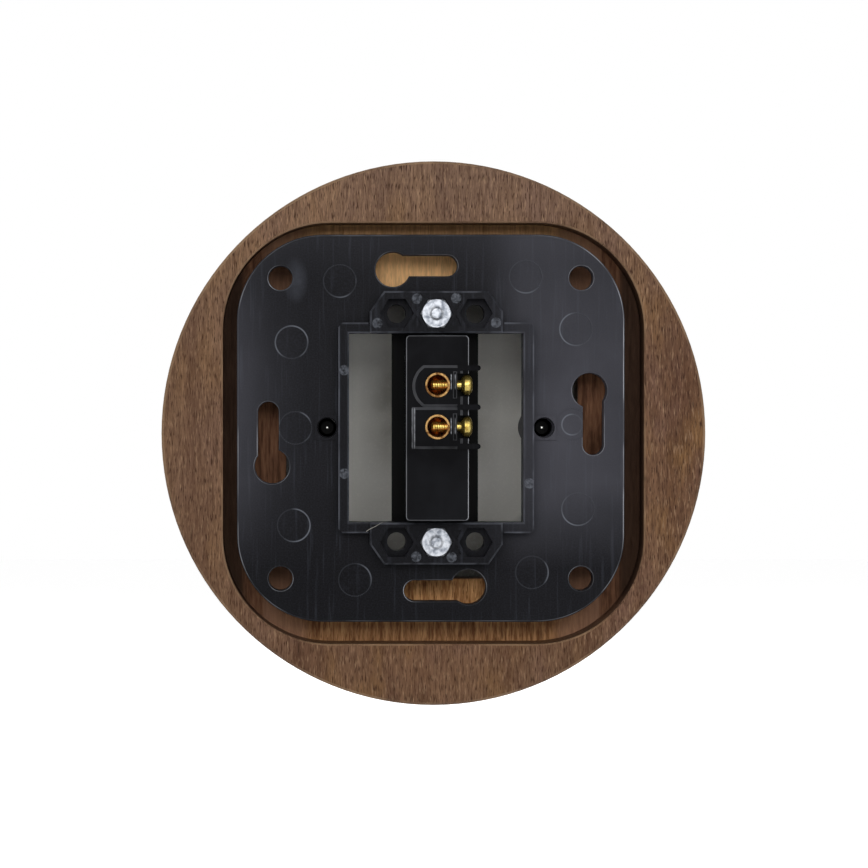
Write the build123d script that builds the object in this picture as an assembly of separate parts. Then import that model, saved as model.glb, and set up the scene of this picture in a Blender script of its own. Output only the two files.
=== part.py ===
from build123d import *
import math
import os

# Round wooden wall switch with a porcelain cover, a moulded mounting plate and a toggle mechanism.
# Millimetres. The wall is the plane Y = 0, the porcelain faces -Y and Z is up.
# The origin is the centre of the mounting plate on the wall plane.
# Seen from the wall side, +X is on the left.

os.makedirs("parts", exist_ok=True)

# Mounting plate, sized by the standard spacing of the wall box's screws
keyhole_spacing = 60.0
keyhole_edge = 5.8
plate_w = keyhole_spacing + 2 * keyhole_edge
plate_corner_r = 16.0
plate_t = 2.8
plate_edge_r = 0.45
corner_hole_d = 4.4
corner_hole_edge = 8.05
corner_hole_pitch = plate_w - 2 * corner_hole_edge
keyhole_w = 3.8
keyhole_head_d = 6.4
keyhole_head_at = 7.0
keyhole_end_at = -3.0
keyhole_head_in = 0.67
hole_rim_r = 0.3
mark_d = 6.0
mark_depth = 0.12
mark_spots = [
    (16.8, 27.2), (25.7, 15.9), (25.0, 0.1), (25.3, -17.9), (14.0, -28.0),
    (-17.5, 28.0), (-26.8, 18.3), (-26.1, 0.7), (-27.2, -14.9), (-18.7, -26.6),
]

# Ejector-pin marks, measured from the middle nut and from the window's centre
pin_mark_d = 2.0
pin_mark_depth = 0.1
pins_top = [(3.6, 2.7), (-3.6, 2.8), (10.85, -1.8), (-10.9, -1.7)]
pins_bottom = [(3.7, -2.65), (-2.8, -2.75)]
pins_ridge = [(16.9, 10.6), (16.9, -8.4), (-17.1, -10.2)]

# Axis of the window, the mechanism and the porcelain, measured from the plate's centre
core_x = -0.9
core_z = 0.12

# Rear half of the mechanism case
base_w = 11.6
base_h = 33.9
base_wall = 1.3
base_rear_y = 6.7
base_corner_r = 0.8
base_edge_r = 0.35
terminal_boss_h = 0.8
floor_y = 0.8

# Window with its ridge, and the nut bosses above and below it
window_w = 32.05
window_gap = 0.45
window_h = base_h + 2 * window_gap
ridge_side_t = 1.95
ridge_end_t = 1.95
ridge_h = 2.2
ridge_corner = 0.8
nut_edge = 3.6
nut_spacing = window_h + 2 * nut_edge
nut_pitch = 7.25
pocket_af = 5.35
pocket_floor = 0.8
pocket_hole_d = 3.45
boss_h = 3.0
boss_margin = 4.1
boss_edge = 0.35
boss_web = 0.35
boss_dip = 0.3
boss_dip_h = 1.9
boss_dip_w = 2.0

# Nuts and screws that hold the mechanism
nut_af = 5.15
nut_t = 2.0
mount_screw_d = 2.5
mount_head_d = 4.6
mount_head_t = 1.7
screw_proud = 0.45
thread_gap = 0.03

# Cover screws with their washers and bosses
cover_screw_pitch = 40.0
cover_screw_d = 3.4
cover_head_d = 6.6
cover_head_t = 2.4
cover_hole_d = 4.2
cover_boss_d = 8.0
cover_boss_h = 7.0
cover_mouth_d = 3.9
cover_mouth_depth = 2.0
cover_tip_y = -4.6
gusset_t = 1.2
gusset_reach = 3.2
pad_size = 4.5
pad_h = 0.25
washer_d = 7.6
washer_t = 0.6
spot_d = 8.6
spot_depth = 1.2

# Wooden ring
ring_land = 11.35
ring_t = 14.0
ring_shift_x = -0.5
ring_shift_z = -0.96
recess_gap = 3.1
recess_depth = 6.5
recess_corner_r = plate_corner_r + 3.8
ring_d = plate_w + 2 * (recess_gap + ring_land)
opening_w = 54.6
opening_corner_r = 9.0
seat_depth = 1.2
seat_play = 1.75
side_step = 0.8
front_round_r = 4.8
back_break = 0.5
mouth_break = 0.3

# Porcelain cover
cover_d = 80.0
cover_h = 17.0
cover_wall = 3.2
foot_h = 2.5
cover_flat_d = 50.0
collar_d = 32.0
collar_h = 1.6

# Front half of the mechanism case
flange_w = base_w + 4.4
flange_h = base_h + 3.1
flange_t = 2.0
ear_w = 9.0
front_w = base_w + 1.4
front_h = base_h + 0.5
front_wall = 1.6
front_shoulder_y = -10.6
front_top_y = -19.2
front_top_h = 17.0
hook_w = 5.0
hook_t = 1.1
hook_reach = 4.7
hook_barb = 0.7
fit_gap = 0.1

# Terminals
terminal_pitch = 7.62
terminal_rise = 0.22
pad_reach = 4.6
pad_slope = 0.5
rail_t = 0.75
rail_l = 4.9
rail_h = 0.3
tube_d = 4.6
tube_bore_d = 3.7
tube_rear_y = 7.3
strip_t = 0.8
strip_w = 6.4
common_strip_h = 4.4
load_strip_h = 5.2
rib_t = 1.0
rib_proud = 2.0
rib_front_y = 1.6
pocket_h = 4.2
pocket_wall = 3.5
pocket_front_y = 2.2
clamp_screw_y = 4.7
clamp_screw_d = 1.8
clamp_head_d = 3.8
clamp_head_t = 1.9
clamp_tip = 1.1

# Toggle lever
pivot_y = -14.0
pin_d = 2.0
hub_r = 3.4
hub_play = 0.2
hub_w = front_w - 2 * front_wall - 2 * hub_play
hub_flat = 3.0
stem_r = 2.4
neck_r = 2.1
knob_r = 3.3
lever_reach = 31.0
rest_angle = -16.0
slot_w = 6.2
slot_gap = 0.35
seat_pip_r = 0.8

# Rocker and contacts
bar_y = -2.6
bar_d = 1.6
rocker_t = 0.7
rocker_w = 4.4
rocker_long = 9.2
rocker_short = 7.8
rocker_rest = -10.0
running_gap = 0.05
ear_t = 0.8
ear_gap = 0.2
contact_d = 2.4
contact_dome_r = 3.0
contact_h = 0.75
contact_stem_d = 1.2
touch_gap = 0.02
stop_w = 5.0
stop_t = 1.4

# Spring
spring_r = 1.25
wire_d = 0.4
spring_turns = 6
spring_end_gap = 0.82


def wall_plane(y, x=0.0, z=0.0):
    # Sketch x is X, sketch y is Z, and extrusion goes to the front.
    return Plane(origin=(x, y, z), x_dir=(1, 0, 0), z_dir=(0, -1, 0))


def prism(sketch, y_back, y_front, x=0.0, z=0.0):
    return extrude(wall_plane(y_back, x, z) * sketch, y_back - y_front)


def rod(diameter, y_back, y_front, x=0.0, z=0.0):
    return prism(Circle(diameter / 2), y_back, y_front, x, z)


def turned(outline, x=0.0, z=0.0):
    # Solid of revolution about a line along Y, from an outline of radius and Y.
    return Pos(x, 0, z) * revolve(make_face(outline), Axis.Y)


def dome_arc(radius, y_edge, y_top):
    # Arc of a spherical cap from its rim to its top, with the ball's centre on the axis.
    rise = y_top - y_edge
    ball = (radius ** 2 + rise ** 2) / (2 * rise)
    centre = y_top - ball
    half = math.atan2(radius, (y_edge - centre) * math.copysign(1, ball)) / 2
    middle = (abs(ball) * math.sin(half), centre + ball * math.cos(half))
    return ThreePointArc((radius, y_edge), middle, (0, y_top))


def cross_rod(diameter, x_half, y, z=0.0):
    return Pos(core_x, y, core_z + z) * extrude(Plane.YZ * Circle(diameter / 2), x_half, both=True)


def swung(shape, y, angle):
    # Turns a shape about the cross axis of the mechanism at depth y.
    return shape.rotate(Axis((core_x, y, core_z), (1, 0, 0)), angle)


def save(shape, name):
    shape.label = name
    export_step(shape, f"parts/{name}.step")


# Derived places
flange_front_y = -plate_t - flange_t
nut_z = nut_spacing / 2
cover_x = cover_screw_pitch / 2
rim_y = seat_depth - ring_t
cover_front_y = rim_y - cover_h
spot_y = cover_front_y + spot_depth
spring_seat_y = bar_y - bar_d / 2 - running_gap - rocker_t


def wood_ring():
    r = ring_d / 2
    side_y = side_step + front_round_r - ring_t
    arc_r = r - side_step - front_round_r
    k = front_round_r * math.sqrt(0.5)
    outline = Polyline(
        (0, -ring_t), (0, 0), (r - back_break, 0), (r, -back_break), (r, side_y), (r - side_step, side_y)
    )
    arc_y = front_round_r - ring_t
    outline += Line((r - side_step, side_y), (r - side_step, arc_y))
    outline += ThreePointArc(
        (r - side_step, arc_y), (arc_r + k, arc_y - k), (arc_r, -ring_t)
    )
    outline += Line((arc_r, -ring_t), (0, -ring_t))
    ring = turned(outline)
    recess_w = plate_w + 2 * recess_gap
    ring -= prism(RectangleRounded(recess_w, recess_w, recess_corner_r), 1, -recess_depth)
    ring -= prism(RectangleRounded(opening_w, opening_w, opening_corner_r), 1, -ring_t - 1)
    ring -= rod(cover_d + 2 * seat_play, rim_y, -ring_t - 1)
    mouth = [e for e in ring.edges().filter_by_position(Axis.Y, -0.01, 0.01) if not e.is_closed]
    ring = chamfer(mouth, mouth_break)
    return Pos(ring_shift_x, 0, ring_shift_z) * ring


def keyhole():
    # One keyhole of the pinwheel: the top one, with its head towards +X.
    z = keyhole_spacing / 2
    run = keyhole_head_at - keyhole_end_at
    slot = Pos((keyhole_head_at + keyhole_end_at) / 2, z) * SlotCenterToCenter(run, keyhole_w)
    return slot + Pos(keyhole_head_at, z - keyhole_head_in) * Circle(keyhole_head_d / 2)


def nut_boss(side):
    half = nut_pitch + boss_margin + 0.85
    far = nut_pitch + boss_margin - 1.7
    inner = window_h / 2 - 0.01
    shoulder = nut_z + 0.4
    reach = nut_z + boss_margin
    outline = Polyline(
        (-half, inner), (-half, shoulder), (-far, reach), (far, reach), (half, shoulder), (half, inner),
        close=True,
    )
    block = prism(make_face(outline), boss_h, -plate_t / 2)
    block = chamfer(block.faces().sort_by(Axis.Y)[-1].edges(), boss_edge)
    if side < 0:
        block = block.mirror(Plane.XY)
    return Pos(core_x, 0, core_z) * block


def boss_gusset(side):
    # Tapered rib that stiffens a cover-screw boss on the front of the plate.
    half = cover_boss_d / 2
    foot = half + gusset_reach
    low = -plate_t / 2
    high = -plate_t - 0.75 * cover_boss_h
    outline = Polyline((low, -foot), (low, foot), (high, half), (high, -half), close=True)
    rib = extrude(Plane.YZ * make_face(outline), gusset_t / 2, both=True)
    return Pos(core_x + side * cover_x, 0, core_z) * rib


def pierced_sheet():
    # The flat plate with its keyholes and corner holes, all rims rounded on the wall side.
    sheet = prism(RectangleRounded(plate_w, plate_w, plate_corner_r), 0, -plate_t)
    rims = sheet.faces().sort_by(Axis.Y)[0].edges() + sheet.faces().sort_by(Axis.Y)[-1].edges()
    sheet = fillet(rims, plate_edge_r)
    for quarter in range(4):
        hole = Rot(0, 0, -90 * quarter) * keyhole()
        sheet -= prism(hole, 1, -plate_t - 1)
        angle = math.radians(45 + 90 * quarter)
        reach = corner_hole_pitch / math.sqrt(2)
        sheet -= rod(corner_hole_d, 1, -plate_t - 1, reach * math.cos(angle), reach * math.sin(angle))
    rear = sheet.faces().sort_by(Axis.Y)[-1]
    return fillet(rear.inner_wires().edges(), hole_rim_r)


def boss_dips(side):
    # Shallow triangles between the nut pockets that leave thin walls round them.
    dips = []
    for step in (-0.5, 0.5):
        for way in (-1, 1):
            near = way * boss_web
            far = way * (boss_web + boss_dip_h)
            corner = Polyline((0, near), (-boss_dip_w / 2, far), (boss_dip_w / 2, far), close=True)
            x = core_x + step * nut_pitch
            dips.append(prism(make_face(corner), boss_h + 1, boss_h - boss_dip, x, core_z + side * nut_z))
    return dips


def mounting_plate():
    plate = pierced_sheet()
    ridge_w = window_w + 2 * ridge_side_t
    ridge_l = window_h + 2 * ridge_end_t
    ridge = prism(Rectangle(ridge_w, ridge_l), ridge_h, -plate_t / 2, core_x, core_z)
    ridge = chamfer(ridge.edges().filter_by(Axis.Y), ridge_corner)
    plate += ridge
    pads = Rectangle(cover_screw_pitch + pad_size, pad_size)
    plate += prism(pads, pad_h, -plate_t / 2, core_x, core_z)
    for side in (1, -1):
        plate += nut_boss(side)
        plate += rod(cover_boss_d, -plate_t / 2, -plate_t - cover_boss_h, core_x + side * cover_x, core_z)
        plate += boss_gusset(side)
        plate -= boss_dips(side)
    plate -= prism(Rectangle(window_w, window_h), boss_h + 1, -plate_t - 1, core_x, core_z)
    for side in (1, -1):
        for step in (-1, 0, 1):
            x = core_x + step * nut_pitch
            z = core_z + side * nut_z
            hexagon = RegularPolygon(pocket_af / 2, 6, major_radius=False)
            plate -= prism(hexagon, boss_h + 1, pocket_floor, x, z)
            plate -= rod(pocket_hole_d, boss_h, -plate_t - 1, x, z)
        x = core_x + side * cover_x
        plate -= rod(cover_screw_d + 2 * thread_gap, 1, -plate_t - cover_boss_h - 1, x, core_z)
        plate -= rod(cover_mouth_d, 1, -cover_mouth_depth, x, core_z)
    for x, z in mark_spots:
        plate -= rod(mark_d, mark_depth, -mark_depth, x, z)
    for spots, height, middle_z in (
        (pins_top, boss_h, nut_z), (pins_bottom, boss_h, -nut_z), (pins_ridge, ridge_h, 0)
    ):
        for x, z in spots:
            plate -= rod(pin_mark_d, height + 1, height - pin_mark_depth, core_x + x, core_z + middle_z + z)
    return plate


def hex_nut(side):
    z = core_z + side * nut_z
    rear = pocket_floor + nut_t
    nut = prism(RegularPolygon(nut_af / 2, 6, major_radius=False), rear, pocket_floor, core_x, z)
    cone = [(0, 0), (nut_af / 2, 0), (nut_af / 2 + nut_t, -nut_t), (0, -nut_t)]
    crown = turned(Polyline(*cone, close=True), core_x, z)
    nut = nut & (Pos(0, rear, 0) * crown)
    return nut - rod(mount_screw_d + 2 * thread_gap, rear + 1, pocket_floor - 1, core_x, z)


def slotted_head(diameter, height, shank_d, head_y, tip_y):
    # A round-head screw along Y, with its head to the front and a driver slot.
    r = diameter / 2
    s = shank_d / 2
    top = head_y - height
    tip = 0.3 * shank_d
    outline = Polyline((0, tip_y), (s - tip / 2, tip_y), (s, tip_y - tip / 2), (s, head_y), (r, head_y))
    outline += Line((r, head_y), (r, head_y - height / 2))
    outline += dome_arc(r, head_y - height / 2, top)
    outline += Line((0, top), (0, tip_y))
    screw = turned(outline)
    slot = Rectangle(diameter + 1, 0.16 * diameter)
    return screw - prism(slot, top + 0.45 * height, top - 1)


def mount_screw(side):
    tip_y = pocket_floor + nut_t + screw_proud
    screw = slotted_head(mount_head_d, mount_head_t, mount_screw_d, flange_front_y, tip_y)
    return Pos(core_x, 0, core_z + side * nut_z) * screw


def cover_screw(side):
    screw = slotted_head(cover_head_d, cover_head_t, cover_screw_d, spot_y - washer_t, cover_tip_y)
    return Pos(core_x + side * cover_x, 0, core_z) * screw


def cover_washer(side):
    x = core_x + side * cover_x
    disc = rod(washer_d, spot_y, spot_y - washer_t, x, core_z)
    return disc - rod(cover_screw_d + 0.3, spot_y + 1, spot_y - washer_t - 1, x, core_z)


def lever_slot_half(y):
    # Half length of the slot that the lever needs at depth y.
    swing = math.radians(abs(rest_angle))
    return (pivot_y - y) * math.tan(swing) + stem_r / math.cos(swing) + slot_gap


def ceramic_cover():
    r = cover_d / 2
    flat = cover_flat_d / 2
    collar = collar_d / 2
    front = cover_front_y
    step = collar_h / 2
    outer = Polyline((r, rim_y), (r, rim_y - foot_h))
    outer += ThreePointArc(
        (r, rim_y - foot_h),
        (flat + 0.72 * (r - flat), rim_y - foot_h - 0.72 * (cover_h - foot_h)),
        (flat, front),
    )
    outer += Line((flat, front), (collar, front))
    outer += Line((collar, front), (collar - step, front - collar_h))
    outer += Line((collar - step, front - collar_h), (0, front - collar_h))
    inner_r = r - cover_wall
    inner_flat = flat - cover_wall / 2
    roof = front + cover_wall
    outer += Line((0, front - collar_h), (0, roof))
    outer += Line((0, roof), (inner_flat, roof))
    outer += ThreePointArc(
        (inner_flat, roof),
        (
            inner_flat + 0.72 * (inner_r - inner_flat),
            rim_y - foot_h - 0.72 * (cover_h - foot_h - cover_wall),
        ),
        (inner_r, rim_y - foot_h),
    )
    outer += Line((inner_r, rim_y - foot_h), (inner_r, rim_y))
    outer += Line((inner_r, rim_y), (r, rim_y))
    cover = turned(outer, core_x, core_z)
    half = lever_slot_half(front - collar_h)
    slot = SlotOverall(2 * half, slot_w, rotation=90)
    cover -= prism(slot, 0, front - collar_h - 1, core_x, core_z)
    for side in (1, -1):
        x = core_x + side * cover_x
        cover -= rod(cover_hole_d, 0, front - 1, x, core_z)
        cover -= rod(spot_d, spot_y, front - 1, x, core_z)
    return cover


def terminal_boss(z, round_end):
    # Raised pad round one terminal, with a sloping edge and its free end rounded or square.
    whole = Rectangle(2 * pad_reach, terminal_pitch)
    outline = whole
    if round_end:
        outline = (Circle(pad_reach) & whole) + Pos(-pad_reach / 2, 0) * Rectangle(pad_reach, terminal_pitch)
    pad = prism(outline, base_rear_y + terminal_boss_h, base_rear_y - 1, core_x, core_z + z)
    return chamfer(pad.faces().sort_by(Axis.Y)[-1].edges(), pad_slope)


def barrier_rib(z):
    # Thin insulating rib beside a clamping screw, with a rounded end.
    root = pad_reach - 2 * pad_slope
    end = base_w / 2 + rib_proud - rib_t / 2
    rib = Pos(-(root + end) / 2, 0) * Rectangle(end - root, rib_t)
    rib += Pos(-end, 0) * Circle(rib_t / 2)
    return prism(rib, base_rear_y + terminal_boss_h, rib_front_y, core_x, core_z + z)


def screw_rail(z):
    # Low wall between a wire tube and the pocket of its screw.
    rail = Rectangle(rail_t, rail_l)
    x = core_x - pocket_wall + rail_t / 2
    rear = base_rear_y + terminal_boss_h + rail_h
    rail = prism(rail, rear, base_rear_y, x, core_z + z)
    return chamfer(rail.faces().sort_by(Axis.Y)[-1].edges(), rail_h / 2)


def hook(side):
    # Snap hook that holds the two halves of the case together.
    inner = front_h / 2 - front_wall
    z0 = inner - fit_gap - hook_t
    y0 = flange_front_y - hook_reach
    leg = prism(Rectangle(hook_w, hook_t), floor_y, y0, 0, z0 + hook_t / 2)
    barb_z = z0 + hook_t + (hook_barb + fit_gap) / 2
    barb = prism(Rectangle(hook_w, hook_barb + fit_gap), y0 + 1.4, y0, 0, barb_z)
    shape = leg + barb
    if side < 0:
        shape = shape.mirror(Plane.XY)
    return Pos(core_x, 0, core_z) * shape


def switch_base():
    body = prism(RectangleRounded(base_w, base_h, base_corner_r), base_rear_y, -plate_t, core_x, core_z)
    body = fillet(body.faces().sort_by(Axis.Y)[-1].edges(), base_edge_r)
    body += terminal_boss(terminal_pitch, True)
    body += terminal_boss(0.0, False)
    for z in (rib_t / 2 - terminal_pitch / 2, terminal_pitch / 2, 1.5 * terminal_pitch - rib_t / 2):
        body += barrier_rib(z)
    cavity = Rectangle(base_w - 2 * base_wall, base_h - 2 * base_wall)
    body -= prism(cavity, floor_y, -plate_t - 1, core_x, core_z)
    for z in (terminal_rise, terminal_rise + terminal_pitch):
        body += screw_rail(z)
        pocket = Rectangle(base_w, pocket_h)
        x = core_x - pocket_wall - base_w / 2
        body -= prism(pocket, base_rear_y + 2, pocket_front_y, x, core_z + z)
        body -= rod(tube_d + 2 * thread_gap, base_rear_y + 2, floor_y - 1, core_x, core_z + z)
        drill = extrude(Plane.YZ * Circle(clamp_screw_d / 2 + fit_gap), -base_w)
        body -= Pos(core_x, clamp_screw_y, core_z + z) * drill
    stop_z = -rocker_short + stop_t
    stop_y = bar_y + (rocker_short - stop_t) * math.tan(math.radians(-rocker_rest)) + 2 * running_gap
    body += prism(Rectangle(stop_w, stop_t), floor_y, stop_y, core_x, core_z + stop_z)
    for side in (1, -1):
        body += hook(side)
    return body


def front_profile(inset, y_back):
    # Side outline of the front case: straight walls and sloped shoulders.
    half = front_h / 2 - inset
    top_half = front_top_h / 2 - inset * 0.6
    shoulder = front_shoulder_y + inset * 0.4
    top = front_top_y + inset
    points = [
        (y_back, half), (shoulder, half), (top, top_half),
        (top, -top_half), (shoulder, -half), (y_back, -half),
    ]
    return make_face(Polyline(*points, close=True))


def switch_front():
    flange = Rectangle(flange_w, flange_h)
    ear_reach = nut_spacing + ear_w - 1.0
    flange += SlotOverall(ear_reach, ear_w, rotation=90)
    case = prism(flange, -plate_t, flange_front_y, core_x, core_z)
    outer = extrude(Plane.YZ * front_profile(0, -plate_t - flange_t / 2), front_w / 2, both=True)
    inner = extrude(Plane.YZ * front_profile(front_wall, -plate_t + 1), front_w / 2 - front_wall, both=True)
    case += Pos(core_x, 0, core_z) * outer
    case -= Pos(core_x, 0, core_z) * inner
    slot = RectangleRounded(slot_w, 2 * lever_slot_half(front_top_y), 1.5)
    case -= prism(slot, pivot_y - hub_r / 2, front_top_y - 1, core_x, core_z)
    case -= cross_rod(pin_d + 2 * thread_gap, front_w, pivot_y)
    for side in (1, -1):
        case -= rod(mount_screw_d + 0.3, 0, flange_front_y - 3, core_x, core_z + side * nut_z)
        window = Rectangle(hook_w + 4 * fit_gap, front_wall + 1)
        y0 = flange_front_y - hook_reach
        z = core_z + side * (front_h / 2 - front_wall / 2 + 0.5 - fit_gap)
        case -= prism(window, y0 + 1.4 + fit_gap, y0 - fit_gap, core_x, z)
    return case


def toggle_lever():
    stem_end = 0.32 * lever_reach
    neck_end = 0.56 * lever_reach
    knob_at = 0.86 * lever_reach
    pip_end = hub_flat + seat_pip_r
    outline = dome_arc(seat_pip_r, hub_flat, pip_end)
    outline += Polyline(
        (seat_pip_r, hub_flat), (seat_pip_r, 0), (stem_r, 0), (stem_r, -stem_end), (neck_r, -neck_end),
        (knob_r, -knob_at),
    )
    outline += dome_arc(knob_r, -knob_at, -lever_reach)
    outline += Line((0, -lever_reach), (0, pip_end))
    lever = Pos(0, pivot_y, 0) * turned(outline, core_x, core_z)
    hub = cross_rod(2 * hub_r, hub_w / 2, pivot_y)
    hub -= prism(Rectangle(hub_w + 1, 3 * hub_r), pivot_y + 2 * hub_r, pivot_y + hub_flat, core_x, core_z)
    lever = hub + lever
    lever -= cross_rod(pin_d + 2 * running_gap, hub_w, pivot_y)
    return swung(lever, pivot_y, rest_angle)


def toggle_pin():
    return cross_rod(pin_d, front_w / 2, pivot_y)


def common_terminal():
    ear_x = rocker_w / 2 + ear_gap + ear_t / 2
    strip = prism(Rectangle(strip_w, common_strip_h), floor_y, floor_y - strip_t, core_x, core_z)
    ear = Rectangle(ear_t, common_strip_h * 0.6)
    for side in (1, -1):
        strip += prism(ear, floor_y, bar_y - bar_d, core_x + side * ear_x, core_z)
    strip += cross_rod(bar_d, ear_x, bar_y)
    return strip + wire_tube(0.0)


def load_terminal():
    z = core_z + terminal_pitch
    strip = prism(Rectangle(strip_w, load_strip_h), floor_y, floor_y - strip_t, core_x, z)
    strip += wire_tube(terminal_pitch)
    x, y, cz = fixed_contact_place()
    return strip - rod(contact_stem_d + 2 * thread_gap, floor_y - 0.05, floor_y - strip_t - 1, x, cz)


def wire_tube(z):
    # Blind brass tube that takes the wire, with a cone at the bottom and a cross hole for its screw.
    bottom = floor_y + 0.9
    outline = Polyline(
        (0, floor_y - 0.1), (tube_d / 2, floor_y - 0.1), (tube_d / 2, tube_rear_y - 0.06),
        (tube_d / 2 - 0.06, tube_rear_y), (tube_bore_d / 2 + 0.06, tube_rear_y),
        (tube_bore_d / 2, tube_rear_y - 0.06), (tube_bore_d / 2, bottom + 0.8), (0, bottom), close=True,
    )
    axis_z = core_z + terminal_rise + z
    tube = turned(outline, core_x, axis_z)
    hole = extrude(Plane.YZ * Circle(clamp_screw_d / 2 + thread_gap), -tube_d)
    return tube - Pos(core_x, clamp_screw_y, axis_z) * hole


def clamp_screw(z):
    r = clamp_head_d / 2
    s = clamp_screw_d / 2
    head = pocket_wall + 0.9
    end = head + clamp_head_t
    outline = Polyline(
        (clamp_tip, 0), (clamp_tip, s - 0.25), (clamp_tip - 0.25, s), (-head, s), (-head, s + 0.25),
        (-head - 0.6, r), (-end + 0.5, r),
    )
    outline += ThreePointArc((-end + 0.5, r), (-end + 0.12, r * 0.8), (-end, 0))
    outline += Line((-end, 0), (clamp_tip, 0))
    screw = revolve(make_face(outline), Axis.X)
    screw -= Pos(-end, 0, 0) * Box(1.2, 0.6, clamp_head_d + 1)
    return Pos(core_x, clamp_screw_y, core_z + terminal_rise + z) * screw


def rocker_contact():
    inner = bar_d / 2 + running_gap
    outer = inner + rocker_t
    front = -rocker_t
    foot = math.sqrt(outer ** 2 - rocker_t ** 2)
    outline = Polyline((0, -inner), (0, -rocker_short), (front, -rocker_short), (front, -foot))
    outline += ThreePointArc((front, -foot), (-outer, 0), (front, foot))
    outline += Polyline((front, foot), (front, rocker_long), (0, rocker_long), (0, inner))
    outline += ThreePointArc((0, inner), (-inner, 0), (0, -inner))
    strip = extrude(Plane.YZ * make_face(outline), rocker_w / 2, both=True)
    strip += Pos(0, 0.1 - outer, 0) * Sphere(seat_pip_r)
    strip -= extrude(Plane.YZ * Circle(inner), rocker_w, both=True)
    stem_hole = Cylinder(contact_stem_d / 2 + thread_gap, 4 * rocker_t)
    strip -= Pos(0, 0, terminal_pitch) * Rot(90, 0, 0) * stem_hole
    strip = Pos(core_x, bar_y, core_z) * strip
    return swung(strip, bar_y, rocker_rest)


def moving_contact():
    # Riveted contact with a domed face, at the load end of the rocker.
    half = contact_d / 2
    base = contact_h - contact_dome_r + math.sqrt(contact_dome_r ** 2 - half ** 2)
    stem = contact_stem_d / 2
    outline = Polyline(
        (0, -rocker_t - 0.35), (0.85, -rocker_t - 0.35), (0.85, -rocker_t), (stem, -rocker_t), (stem, 0),
        (half, 0), (half, base),
    )
    outline += dome_arc(half, base, contact_h)
    outline += Line((0, contact_h), (0, -rocker_t - 0.35))
    contact = Pos(0, bar_y, 0) * turned(outline, core_x, core_z + terminal_pitch)
    return swung(contact, bar_y, rocker_rest)


def fixed_contact_place():
    # Where the dome of the moving contact comes to rest: X, Y and Z of the touching point.
    angle = math.radians(rocker_rest)
    reach = contact_h - contact_dome_r
    y = bar_y + reach * math.cos(angle) - terminal_pitch * math.sin(angle) + contact_dome_r
    z = reach * math.sin(angle) + terminal_pitch * math.cos(angle)
    return core_x, y, core_z + z


def fixed_contact():
    x, y, z = fixed_contact_place()
    front = floor_y - strip_t
    head = rod(contact_d + 0.4, front, y + touch_gap, x, z)
    return head + rod(contact_stem_d, floor_y - 0.1, front, x, z)


def toggle_spring():
    # Coil between the pip on the rocker and the pip on the lever hub.
    low = math.radians(rocker_rest)
    high = math.radians(rest_angle)
    arm = spring_seat_y - bar_y
    start = Vector(core_x, bar_y + arm * math.cos(low), core_z + arm * math.sin(low))
    end = Vector(core_x, pivot_y + hub_flat * math.cos(high), core_z + hub_flat * math.sin(high))
    axis = end - start
    height = axis.length - 2 * spring_end_gap
    direction = axis.normalized()
    helix = Helix(height / spring_turns, height, spring_r, center=start + direction * spring_end_gap,
                  direction=direction)
    wire = Plane(origin=helix @ 0, z_dir=helix % 0) * Circle(wire_d / 2)
    return sweep(wire, path=helix, is_frenet=True)


def main():
    save(wood_ring(), "wood_ring")
    save(mounting_plate(), "mounting_plate")
    save(ceramic_cover(), "ceramic_cover")
    save(switch_base(), "switch_base")
    save(switch_front(), "switch_front")
    save(toggle_lever(), "toggle_lever")
    save(toggle_pin(), "toggle_pin")
    save(toggle_spring(), "toggle_spring")
    save(rocker_contact(), "rocker_contact")
    save(moving_contact(), "moving_contact")
    save(fixed_contact(), "fixed_contact")
    save(common_terminal(), "common_terminal")
    save(load_terminal(), "load_terminal")
    save(clamp_screw(0.0), "clamp_screw_common")
    save(clamp_screw(terminal_pitch), "clamp_screw_load")
    for side, word in ((1, "top"), (-1, "bottom")):
        save(hex_nut(side), f"mounting_nut_{word}")
        save(mount_screw(side), f"mounting_screw_{word}")
    for side, word in ((1, "a"), (-1, "b")):
        save(cover_screw(side), f"cover_screw_{word}")
        save(cover_washer(side), f"cover_washer_{word}")


if __name__ == "__main__":
    main()
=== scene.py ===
# Looks for a round wall switch seen from its rear: stained wood ring, black moulded plate, porcelain cover.
# Metres. The wall is Y = 0, the porcelain faces -Y, Z is up and +X is on the left in the photograph.
import math

import bpy
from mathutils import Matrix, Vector


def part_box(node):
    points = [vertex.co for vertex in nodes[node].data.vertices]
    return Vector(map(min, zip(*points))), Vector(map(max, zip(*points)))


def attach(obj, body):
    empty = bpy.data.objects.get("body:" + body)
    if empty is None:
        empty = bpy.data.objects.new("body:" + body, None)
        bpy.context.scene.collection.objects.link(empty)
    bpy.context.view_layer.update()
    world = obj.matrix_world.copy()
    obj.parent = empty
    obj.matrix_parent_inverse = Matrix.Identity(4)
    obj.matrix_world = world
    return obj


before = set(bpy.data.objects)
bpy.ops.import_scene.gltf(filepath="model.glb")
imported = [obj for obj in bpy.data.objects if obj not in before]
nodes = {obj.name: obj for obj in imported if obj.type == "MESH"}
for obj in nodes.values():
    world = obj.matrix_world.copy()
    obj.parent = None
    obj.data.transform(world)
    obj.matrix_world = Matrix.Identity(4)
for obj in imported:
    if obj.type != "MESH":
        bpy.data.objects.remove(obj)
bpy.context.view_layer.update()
MM = 0.001


def middle(node):
    # Centre of a CAD node's box.
    low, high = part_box(node)
    return [(low[axis] + high[axis]) / 2 for axis in range(3)]


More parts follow.
